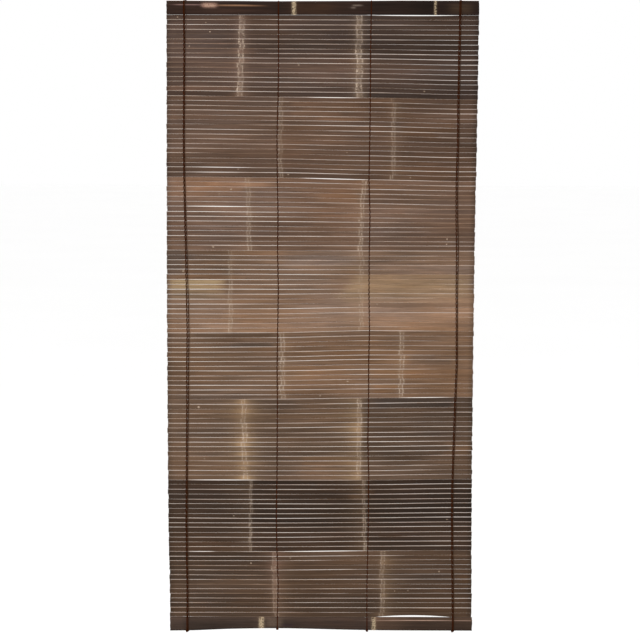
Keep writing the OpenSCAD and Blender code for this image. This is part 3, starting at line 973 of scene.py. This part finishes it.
def strand_points(column, first):
    """Points of one strand from the head batten's lower edge to the bottom batten's top edge, each with
    the number of the item or gap it belongs to. first is True for the strand in front of the head batten."""
    rng = np.random.default_rng(5000 + 10 * column + first)
    pts = []
    for j in range(N_SLATS + 1):
        x = WARPS[column] + sway(column, j)
        # crossing in gap j, above slat j
        side = SLIP if first == (j % 2 == 0) else -SLIP
        pts.append((j, x + side + rng.normal(0, 0.08), MID_Y + rng.normal(0, 0.05), gap_middle(j, x)))
        if j == N_SLATS:
            break
        ahead = first != (j % 2 == 0)
        x2 = WARPS[column] + sway(column, j + 1)
        xm = (x + x2) / 2
        hw = (gap_middle(j, x) - gap_middle(j + 1, x2)) / 2
        z = (gap_middle(j, x) + gap_middle(j + 1, x2)) / 2
        off = HALF + STRAND + (node_swell(j, xm) if ahead else 0.0)
        y = MID_Y + (-off if ahead else off)
        edge_y = MID_Y + 0.80 * (y - MID_Y)
        pts.append((j + 0.25, x + 0.75 * side, edge_y, z + 0.70 * hw))
        pts.append((j + 0.5, xm + rng.normal(0, 0.10), y, z))
        side2 = SLIP if first == ((j + 1) % 2 == 0) else -SLIP
        pts.append((j + 0.75, x2 + 0.75 * side2, edge_y, z - 0.70 * hw))
    return pts


# Places where one body's thread and cord end and the next hinge's begin, as slat numbers
CUTS = [-1.0] + [GROUP_START[g] + (1.5 if GROUPS[g] == 3 else 0.5) for g in range(48)] + [127.0]


def warp_parts():
    """For each hinge the tubes of all eight strands, and those on the two battens."""
    hinge = [[] for _ in range(49)]
    ends = {"head": [], "foot": []}
    for column in range(4):
        runs = {}
        x, xf = WARPS[column] + sway(column, 0), WARPS[column] + sway(column, N_SLATS)
        for first in (True, False):
            pts = strand_points(column, first)
            # on to the two battens, in front or behind
            head_y = FRONT - STRAND if first else STRAND + 0.12
            last_front = first == (N_SLATS % 2 == 1)
            foot_y = FRONT - STRAND if last_front else STRAND + 0.12
            top = [(-1.0, x, head_y, HEAD_LOW + 2.5), (-0.5, x + 0.2, head_y + (0.4 if first else -0.4), HEAD_LOW + 0.3)]
            low = [(126.5, xf, foot_y + (0.4 if last_front else -0.4), FOOT_TOP + 0.2), (127.0, xf, foot_y, FOOT_TOP - 2.2)]
            runs[first] = top + pts + low
            places = np.array([p[0] for p in runs[first]])
            where = np.array([p[1:] for p in runs[first]])
            for h in range(49):
                a = int(np.argmin(np.abs(places - CUTS[h])))
                b = int(np.argmin(np.abs(places - CUTS[h + 1])))
                lead = where[max(a - 1, 0)] if a > 0 else None
                tail = where[b + 1] if b + 1 < len(where) else None
                hinge[h].append(tube(curve_between(where[a:b + 1], lead, tail, 1.25), (WIDE, STRAND), 8))
        # round the head batten, over its top edge
        h = HEAD_H / 2 + float(head_edge(x))
        r = STRAND
        f, b = FRONT - r, r + 0.12
        loop = [(x, f, HEAD_LOW + 2.5), (x, f - 0.05, -4.0), (x, f, 6.0), (x + 0.1, f + 0.35, h - 3.1), (x + 0.2, f + 1.3, h + 0.3), (x + 0.3, f + 2.6, h + r + 0.2),
                (x + 0.3, -3.5, h + r + 0.15), (x + 0.2, -0.9, h + r), (x + 0.1, b - 0.4, h + 0.1), (x, b, h - 1.6), (x, b, 4.0), (x, b, -6.0), (x, b, HEAD_LOW + 2.5)]
        ends["head"].append(tube(smooth_path(loop, 1.4), (WIDE, r), 8))
        z, x = FOOT_LOW + float(foot_edge(xf)), xf
        lo = [(x, f, FOOT_TOP - 2.2), (x, f, FOOT_TOP - 12.0), (x, f, z + 6.0), (x, f + 0.3, z + 2.0), (x, f + 1.1, z - 0.1), (x, f + 2.4, z - r - 0.1),
              (x, -3.5, z - r - 0.1), (x, -0.9, z - r - 0.05), (x, b - 0.35, z), (x, b, z + 1.8), (x, b, z + 12.0), (x, b, FOOT_TOP - 2.2)]
        ends["foot"].append(tube(smooth_path(lo, 1.4), (WIDE, r), 8))
        ends["foot"] += knot_tubes(x, f + 1.9, z - 0.2, 1.6 * r)
    return hinge, ends


def curve_between(points, lead, tail, step):
    """A smooth curve through points that bends as if it went on through lead and tail."""
    p = [np.asarray(q, float) for q in points]
    q = [np.asarray(lead) if lead is not None else 2 * p[0] - p[1]] + p + [np.asarray(tail) if tail is not None else 2 * p[-1] - p[-2]]
    out = []
    for i in range(1, len(q) - 2):
        n = max(2, int(round(np.linalg.norm(q[i + 1] - q[i]) / step)))
        a, b, c, d = q[i - 1], q[i], q[i + 1], q[i + 2]
        for t in np.arange(n) / n:
            out.append(b + 0.5 * t * (c - a + t * (2 * a - 5 * b + 4 * c - d + t * (3 * (b - c) + d - a))))
    out.append(p[-1])
    return np.array(out)


def knot_tubes(x, y, z, r):
    """A tied knot under the bottom batten with two cut tails."""
    t = np.linspace(0, 2 * np.pi, 49)
    a = 1.3 * r
    knot = np.stack([x + a * (np.sin(t) + 2 * np.sin(2 * t)) * 0.60, y + a * (np.cos(t) - 2 * np.cos(2 * t)) * 0.60, z - r - a * np.sin(3 * t) * 0.8], 1)
    tails = []
    for s in (-1, 1):
        tails.append(tube(smooth_path([(x + 0.5 * s, y, z - 1.2 * r), (x + 1.3 * s, y - 0.3, z - 2.2 * r), (x + 1.7 * s, y - 0.2 * s, z - 3.6 * r)], 0.8), 0.8 * r, 8))
    return [tube(knot, r, 8, carry=True)] + tails


def cord_parts():
    """The lift cords: front and back runs at each hinge, and the turns over the two battens."""
    hinge = [[] for _ in range(49)]
    ends = {"head": [], "foot": []}
    twist, lobe = 1.15, 0.13
    for c, x in enumerate(CORDS):
        xb = x + CORD_BACK
        rng = np.random.default_rng(77 + c)
        drift = [Wander(rng, 130), Wander(rng, 150)]
        h, r = HEAD_H / 2 + float(head_edge(x)), LIFT
        f, b = FRONT - r, r + 0.12
        column = (0, 3)[c]
        top_x, low_x = sway(column, 0), sway(column, N_SLATS)
        for front in (True, False):
            base = x if front else xb
            off = -(HALF + r) if front else HALF + r
            first = base + (top_x if front else 0.0)
            pts = [(-1.0, (first, f if front else b, HEAD_LOW + 2.5)), (-0.5, (first, f + 0.3 if front else b - 0.3, HEAD_LOW - 0.5))]
            for k in range(N_SLATS):
                fade = math.sin(math.pi * (k + 0.5) / N_SLATS) ** 0.4
                aside = 0.30 * float(drift[0 if front else 1](k * 6.2 - 390)) * fade
                aside += 1.7 * math.exp(-((k - 66) / 17.0) ** 2) if c == 0 else 1.3 * math.exp(-((k - 47) / 11.0) ** 2)
                aside += sway(column, k + 0.5) * (1.0 if front or k > 6 else k / 6.0)
                at = base + aside
                pts.append((k + 0.5, (at, MID_Y + off - (node_swell(k, at) if front else 0.0), item_middle(k + 1, at))))
            last = base + low_x
            pts += [(126.5, (last, f + 0.3 if front else b - 0.3, FOOT_TOP + 1.0)), (127.0, (last, f if front else b, FOOT_TOP - 2.2))]
            places = np.array([p[0] for p in pts])
            where = np.array([p[1] for p in pts])
            for i in range(49):
                a = int(np.argmin(np.abs(places - CUTS[i])))
                e = int(np.argmin(np.abs(places - CUTS[i + 1])))
                lead = where[a - 1] if a > 0 else None
                tail = where[e + 1] if e + 1 < len(where) else None
                path = curve_between(where[a:e + 1], lead, tail, 1.7)
                hinge[i].append(tube(path, r, 12, 3, lobe, twist, start=-where[a][2]))
        x = x + top_x
        over = [(x, f, HEAD_LOW + 2.5), (x, f, 0.0), (x, f, 9.0), (x + 0.1, f + 0.4, h - 2.0), (x + 0.3, f + 1.6, h + 0.5), (x + 0.6, f + 3.0, h + r + 0.15),
                (0.5 * (x + xb), -3.6, h + r + 0.15), (xb - 0.2, -0.9, h + r), (xb, b - 0.4, h + 0.1), (xb, b + 0.1, h - 2.2), (xb, b + 1.7, h - 7.0), (xb, 4.4, 5.0), (xb, 4.9, 2.0),
                (xb, 4.9, -2.0), (xb, 4.4, -5.0), (xb, b + 1.2, HEAD_LOW + 6.0), (xb, b, HEAD_LOW + 2.5)]
        ends["head"].append(tube(smooth_path(over, 1.3), r, 12, 3, lobe, twist))
        x, xb = CORDS[c] + low_x, CORDS[c] + CORD_BACK + low_x
        z = FOOT_LOW + float(foot_edge(x))
        under = [(x, f, FOOT_TOP - 2.2), (x, f, FOOT_TOP - 14.0), (x, f, z + 6.0), (x, f + 0.3, z + 2.2), (x + 0.2, f + 1.4, z - 0.4), (x + 0.5, f + 2.8, z - r - 0.15),
                 (x + 1.4, -3.6, z - r - 0.15), (xb - 0.2, -0.9, z - r), (xb, b - 0.35, z), (xb, b, z + 2.0), (xb, b, z + 14.0), (xb, b, FOOT_TOP - 2.2)]
        ends["foot"].append(tube(smooth_path(under, 1.3), r, 12, 3, lobe, twist))
    return hinge, ends


warp_hinges, warp_ends = warp_parts()
cord_hinges, cord_ends = cord_parts()
for kind, hinges, ends, material, slot, nodes in (
    ("warp", warp_hinges, warp_ends, WARP_MAT, "thread", [f"warp_thread_{i}" for i in (1, 2, 3, 4)]),
    ("cord", cord_hinges, cord_ends, CORD_MAT, "cord", ["lift_cord_left", "lift_cord_right"]),
):
    for h in range(49):
        piece = join_tubes(f"{kind}_hinge_{h + 1:02d}", hinges[h], material, 300 + h)
        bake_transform(piece)
    for end, body in (("head", "head"), ("foot", "bottom_batten")):
        piece = join_tubes(f"{kind}_{end}", ends[end], material, 400)
        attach(piece, body)
        if end == "head":
            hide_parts(*nodes)


# ---------------------------------------------------------------- hardware behind the head batten
def make_eye(x, name):
    """A screw eye: a wire bent to a ring, with its neck running into the batten."""
    ring = [(x + 3.4 * math.sin(a), 4.9 - 3.4 * math.cos(a), 0.0) for a in np.linspace(0.30, 2 * math.pi - 0.12, 56)]
    neck = [(x, -5.0, 0.0), (x, -2.0, 0.0), (x, 0.3, 0.0), (x + 0.15, 1.2, 0.0)]
    path = smooth_path(neck, 0.7)
    whole = np.concatenate([path, np.array(ring)])
    rings = []
    d = np.gradient(whole, axis=0)
    d /= np.linalg.norm(d, axis=1)[:, None]
    for i, p in enumerate(whole):
        v = np.array([0.0, 0.0, 1.0])
        u = np.cross(v, d[i])
        a = 2 * np.pi * np.arange(14) / 14
        r = 0.9 if i > 4 else 0.9 * (0.35 + 0.65 * i / 4)
        rings.append((p + r * (np.cos(a)[:, None] * u + np.sin(a)[:, None] * v)) * MM)
    verts, faces = loft(rings)
    return new_mesh(name, verts, faces)


for i, x in enumerate(CORDS):
    eye = make_eye(x + CORD_BACK, ("cord_eye_left", "cord_eye_right")[i])
    eye.data.materials.append(STEEL_MAT)
    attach(eye, "head")
    if i == 0:
        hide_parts("cord_eyes")

for n in ("hanger_plates", "hanger_nails"):
    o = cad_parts[n]
    o.data.materials.clear()
    o.data.materials.append(STEEL_MAT)


# ---------------------------------------------------------------- floor and light
def make_stage():
    g = Graph("floor")
    cloud = g.noise(g.place((0.6, 0.6, 0.6)), 1.0, 2.0, 0.5)
    g.set("Base Color", g.mix(g.remap(cloud, 0.3, 0.7, 0.0, 1.0), (0.985, 0.985, 0.984, 1.0), (0.995, 0.995, 0.994, 1.0)))
    g.shader.inputs["Roughness"].default_value = 0.9
    g.shader.inputs["Specular IOR Level"].default_value = 0.1
    s = 60.0
    floor = new_mesh("floor", [(-s, -s, -1.95), (s, -s, -1.95), (s, s, -1.95), (-s, s, -1.95)], [(0, 1, 2, 3)], smooth=False)
    floor.data.materials.append(g.material)

    world = bpy.data.worlds.new("world")
    world.use_nodes = True
    world.node_tree.nodes["Background"].inputs["Color"].default_value = (1.0, 1.0, 1.0, 1.0)
    world.node_tree.nodes["Background"].inputs["Strength"].default_value = 1.0
    scene.world = world

    def lamp(name, place, aim, size, power):
        data = bpy.data.lights.new(name, "AREA")
        data.shape = "RECTANGLE"
        data.size, data.size_y = size
        data.energy = power
        o = bpy.data.objects.new(name, data)
        o.location = place
        o.rotation_mode = "QUATERNION"
        o.rotation_quaternion = (Vector(aim) - Vector(place)).to_track_quat("-Z", "Y")
        scene.collection.objects.link(o)

    lamp("key", (-2.2, -3.6, 2.2), (0, 0, -0.8), (2.4, 2.4), 60.0)
    lamp("top", (0.6, -0.6, 2.6), (0, 0, -0.4), (2.0, 1.2), 20.0)
    scene.view_settings.view_transform = "Standard"
    scene.view_settings.look = "None"
    scene.view_settings.exposure = 0.0
    scene.view_settings.gamma = 1.0


make_stage()
